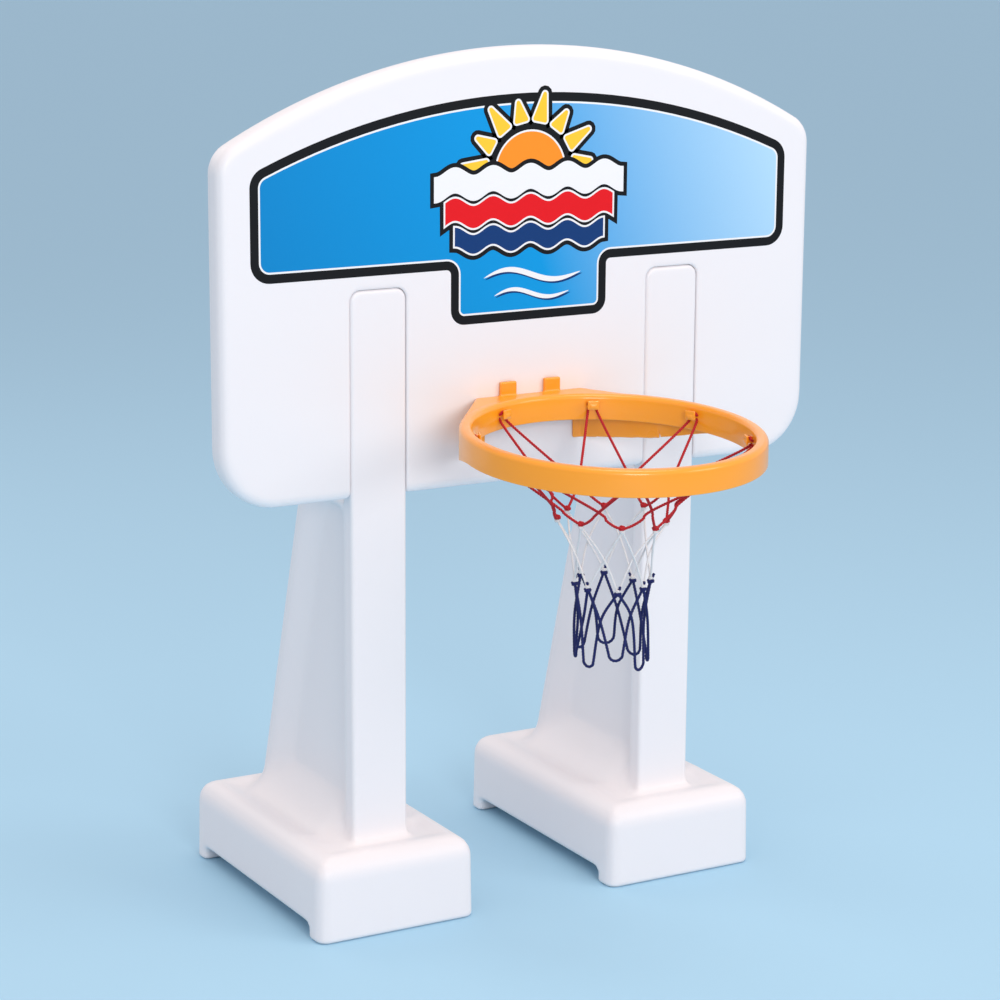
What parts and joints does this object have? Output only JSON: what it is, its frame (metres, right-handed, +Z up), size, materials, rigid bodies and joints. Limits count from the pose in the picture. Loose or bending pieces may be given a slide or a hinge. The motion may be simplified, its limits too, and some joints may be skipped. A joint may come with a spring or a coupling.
{
  "type": "poolside basketball hoop",
  "caption": "Free-standing poolside basketball hoop: hollow footed stands whose posts slot into an arched backboard, with a hooked-on rim, a coloured net and screw-in fill plugs.",
  "frame": {"origin": "on the floor, under the middle of the whole object's box at rest", "axes": "+Z up, +X to the right as a player facing the board sees it, -Y out of the board's playing face towards the rim"},
  "size_m": [0.8, 0.685, 1.038],
  "materials": {
    "stand_plastic": "satin white blow-moulded polyethylene with a soft sheen",
    "board_plastic": "satin white blow-moulded polyethylene with a soft sheen",
    "decal_print": "printed vinyl sticker, blue fading from left to right, black border with a white line inside",
    "rim_plastic": "glossy orange injection-moulded plastic",
    "cord_red": "braided polyester cord, red",
    "cord_white": "braided polyester cord, white",
    "cord_blue": "braided polyester cord, navy blue",
    "plug_plastic": "satin off-white moulded plastic",
    "seal_rubber": "matt dark grey rubber"
  },
  "bodies": {
    "stands": {"left_stand": "stand_plastic", "right_stand": "stand_plastic"},
    "board": {"backboard": "board_plastic", "backboard_decal": "decal_print"},
    "hoop": {"rim": "rim_plastic", "net_red": "cord_red", "net_white": "cord_white", "net_blue": "cord_blue"},
    "left_seal": {"left_plug_seal": "seal_rubber"},
    "left_plug": {"left_fill_plug": "plug_plastic"},
    "right_seal": {"right_plug_seal": "seal_rubber"},
    "right_plug": {"right_fill_plug": "plug_plastic"}
  },
  "joints": [
    {"name": "board_lift", "type": "slide", "parent": "stands", "child": "board", "axis": [0, 0, 1], "range_m": [0, 0.25]},
    {"name": "rim_lift", "type": "slide", "parent": "board", "child": "hoop", "axis": [0, 0, 1], "range_m": [0, 0.012]},
    {"name": "left_plug_out", "type": "slide", "parent": "stands", "child": "left_seal", "axis": [0, 1, 0], "range_m": [0, 0.008]},
    {"name": "left_plug_turn", "type": "hinge", "parent": "left_seal", "child": "left_plug", "pos_m": [-0.2, 0.3295, 0.048], "axis": [0, 1, 0], "range_deg": [0, 720]},
    {"name": "right_plug_out", "type": "slide", "parent": "stands", "child": "right_seal", "axis": [0, 1, 0], "range_m": [0, 0.008]},
    {"name": "right_plug_turn", "type": "hinge", "parent": "right_seal", "child": "right_plug", "pos_m": [0.2, 0.3295, 0.048], "axis": [0, 1, 0], "range_deg": [0, 720]}
  ],
  "couplings": [
    {"joint": "left_plug_out", "follows": "left_plug_turn", "m_per_rad": 0.000636},
    {"joint": "right_plug_out", "follows": "right_plug_turn", "m_per_rad": 0.000636}
  ]
}
